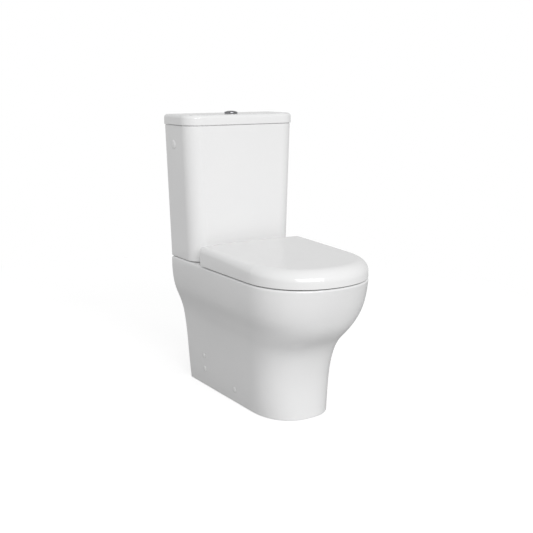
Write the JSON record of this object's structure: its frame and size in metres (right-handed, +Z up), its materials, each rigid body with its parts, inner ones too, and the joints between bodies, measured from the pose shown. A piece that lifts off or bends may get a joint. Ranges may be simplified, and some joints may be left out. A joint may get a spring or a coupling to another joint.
{
  "type": "close coupled toilet",
  "caption": "Floor standing ceramic toilet pan with a cistern bolted on its back, a wrap-over seat and cover on hinges, and a push button flush valve.",
  "frame": {"origin": "on the floor, under the middle of the object's bounding box", "axes": "+Z up, +Y from the front of the bowl to the wall, +X to the right of someone facing the toilet"},
  "size_m": [0.373, 0.632, 0.837],
  "materials": {
    "china": "gloss",
    "seat_plastic": "gloss",
    "chrome": "polished",
    "steel": "satin",
    "white_plastic": "satin",
    "grey_plastic": "satin",
    "blue_plastic": "satin",
    "rubber": "matte",
    "clear_rubber": "matte"
  },
  "bodies": {
    "pan_and_cistern": {"pan": "china", "cistern": "china", "flush_valve_base": "white_plastic", "flush_valve_cage": "white_plastic", "flush_valve_head": "blue_plastic", "flush_valve_gasket": "rubber", "flush_valve_backnut": "white_plastic", "coupling_gasket": "rubber", "rocker_axle": "steel", "fill_valve_body": "white_plastic", "fill_valve_head": "blue_plastic", "fill_valve_washer": "rubber", "fill_valve_backnut": "white_plastic", "cistern_bolt_left": "steel", "cistern_bolt_washer_left": "rubber", "cistern_wing_nut_left": "white_plastic", "hinge_post_left": "chrome", "hinge_pin_left": "steel", "hinge_stud_left": "steel", "hinge_wing_nut_left": "white_plastic", "cistern_side_plug_left": "seat_plastic", "pan_cap_front_left": "seat_plastic", "pan_cap_rear_low_left": "seat_plastic", "pan_cap_rear_high_left": "seat_plastic", "floor_bracket_left": "steel", "bracket_screw_left": "steel", "cistern_bolt_right": "steel", "cistern_bolt_washer_right": "rubber", "cistern_wing_nut_right": "white_plastic", "hinge_post_right": "chrome", "hinge_pin_right": "steel", "hinge_stud_right": "steel", "hinge_wing_nut_right": "white_plastic", "cistern_side_plug_right": "seat_plastic", "pan_cap_front_right": "seat_plastic", "pan_cap_rear_low_right": "seat_plastic", "pan_cap_rear_high_right": "seat_plastic", "floor_bracket_right": "steel", "bracket_screw_right": "steel"},
    "seat": {"seat_ring": "seat_plastic", "seat_buffer_front_left": "clear_rubber", "seat_buffer_rear_left": "clear_rubber", "seat_buffer_front_right": "clear_rubber", "seat_buffer_rear_right": "clear_rubber"},
    "cover": {"seat_cover": "seat_plastic", "cover_buffer_left": "clear_rubber", "cover_buffer_right": "clear_rubber"},
    "lid": {"cistern_lid": "china", "button_bezel": "chrome", "button_nut": "white_plastic"},
    "full_button": {"full_flush_button": "chrome", "full_flush_rod": "white_plastic"},
    "half_button": {"half_flush_button": "chrome", "half_flush_rod": "white_plastic"},
    "cartridge": {"overflow_tube": "white_plastic", "valve_seal": "clear_rubber"},
    "full_rocker": {"full_flush_rocker": "grey_plastic"},
    "half_rocker": {"half_flush_rocker": "grey_plastic"},
    "float": {"float_cup": "grey_plastic"},
    "lever": {"float_lever": "blue_plastic"}
  },
  "joints": [
    {"name": "seat_hinge", "type": "hinge", "parent": "pan_and_cistern", "child": "seat", "pos_m": [0, 0.1055, 0.42], "axis": [-1, 0, 0], "range_deg": [0, 93]},
    {"name": "cover_hinge", "type": "hinge", "parent": "seat", "child": "cover", "pos_m": [0, 0.1055, 0.42], "axis": [1, 0, 0], "range_deg": [-93, 0]},
    {"name": "cistern_lid_lift", "type": "slide", "parent": "pan_and_cistern", "child": "lid", "axis": [0, 0, 1], "range_m": [0, 0.1]},
    {"name": "full_flush_press", "type": "slide", "parent": "lid", "child": "full_button", "axis": [0, 0, -1], "range_m": [0, 0.006], "stiffness_N_per_m": 200, "springref_m": -0.01},
    {"name": "half_flush_press", "type": "slide", "parent": "lid", "child": "half_button", "axis": [0, 0, -1], "range_m": [0, 0.006], "stiffness_N_per_m": 200, "springref_m": -0.01},
    {"name": "full_flush_rocker_turn", "type": "hinge", "parent": "pan_and_cistern", "child": "full_rocker", "pos_m": [0.006, 0.252, 0.697], "axis": [1, 0, 0], "range_deg": [0, 28]},
    {"name": "half_flush_rocker_turn", "type": "hinge", "parent": "pan_and_cistern", "child": "half_rocker", "pos_m": [-0.009, 0.252, 0.697], "axis": [1, 0, 0], "range_deg": [0, 28]},
    {"name": "flush_valve_lift", "type": "slide", "parent": "pan_and_cistern", "child": "cartridge", "axis": [0, 0, 1], "range_m": [0, 0.0105]},
    {"name": "float_rise", "type": "slide", "parent": "pan_and_cistern", "child": "float", "axis": [0, 0, 1], "range_m": [0, 0.01]},
    {"name": "float_lever_turn", "type": "hinge", "parent": "pan_and_cistern", "child": "lever", "pos_m": [0.128, 0.236, 0.682], "axis": [-1, 0, 0], "range_deg": [0, 18]}
  ],
  "couplings": [
    {"joint": "full_flush_rocker_turn", "follows": "full_flush_press", "rad_per_m": 80},
    {"joint": "half_flush_rocker_turn", "follows": "half_flush_press", "rad_per_m": 80},
    {"joint": "flush_valve_lift", "follows": "full_flush_press", "ratio": 1.65},
    {"joint": "float_lever_turn", "follows": "float_rise", "rad_per_m": 30.3}
  ]
}
